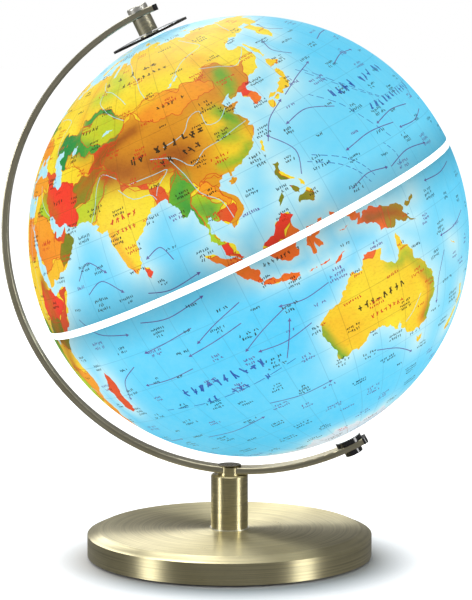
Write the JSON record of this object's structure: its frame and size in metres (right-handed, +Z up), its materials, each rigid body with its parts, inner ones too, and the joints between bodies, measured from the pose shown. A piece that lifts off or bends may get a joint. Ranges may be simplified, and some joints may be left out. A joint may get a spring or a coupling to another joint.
{
  "type": "desktop globe",
  "caption": "Illuminated desktop globe with a tilted axis, held at both poles by a C-shaped flat metal arc on a short post and a weighted round base.",
  "frame": {"origin": "centre of the base's underside, on the post's axis, on the surface the globe stands on", "axes": "+Z up; the meridian arc lies in the XZ plane with the north pole leaning towards -X; +Y towards the back, where the power inlet is"},
  "size_m": [0.2122, 0.2, 0.2537],
  "materials": {
    "brushed_brass": "antique brass, turned and brushed",
    "satin_brass": "antique brass, satin, brushed along the tube",
    "dark_brass": "dark antique brass",
    "bright_steel": "nickel plated, polished",
    "zinc_steel": "zinc plated",
    "cast_iron": "as cast",
    "foam_pad": "closed-cell foam, matt",
    "black_plastic": "gloss black",
    "lead_sheath": "white PVC",
    "clear_acrylic": "clear, polished",
    "printed_map": "printed map under satin lacquer, lit from inside",
    "milky_plastic": "translucent white",
    "lamp_frost": "frosted, lit",
    "board_white": "white solder mask",
    "led_yellow": "phosphor"
  },
  "bodies": {
    "stand": {"base_cover": "brushed_brass", "base_weight": "cast_iron", "bottom_plate": "zinc_steel", "plate_screws": "zinc_steel", "base_pad": "foam_pad", "power_socket": "black_plastic", "socket_contact": "zinc_steel", "post_foot_ring": "bright_steel", "post": "brushed_brass", "arc_saddle": "brushed_brass", "arc_bolt": "dark_brass", "bolt_washer": "zinc_steel", "bolt_nut": "zinc_steel", "meridian_arc": "satin_brass", "arc_plug_top": "black_plastic", "arc_plug_bottom": "black_plastic", "lamp_lead": "lead_sheath", "top_knob": "bright_steel", "pivot_pin": "zinc_steel", "top_sleeve": "satin_brass", "dial_clip": "bright_steel", "lamp_holder": "black_plastic", "lamp_stem": "zinc_steel", "holder_nut": "black_plastic", "lamp_diffuser": "lamp_frost", "led_board": "board_white", "led_chips": "led_yellow"},
    "globe": {"north_shell": "printed_map", "south_shell": "printed_map", "equator_band": "milky_plastic", "north_bushing": "milky_plastic", "south_bushing": "milky_plastic"},
    "dial": {"hour_dial": "clear_acrylic"}
  },
  "joints": [
    {"name": "globe_spin", "type": "hinge", "parent": "stand", "child": "globe", "pos_m": [0.00876, 0, 0.14762], "axis": [-0.4384, 0, 0.8988], "continuous": true},
    {"name": "dial_turn", "type": "hinge", "parent": "stand", "child": "dial", "pos_m": [-0.03637, 0, 0.24016], "axis": [-0.4384, 0, 0.8988], "continuous": true}
  ]
}
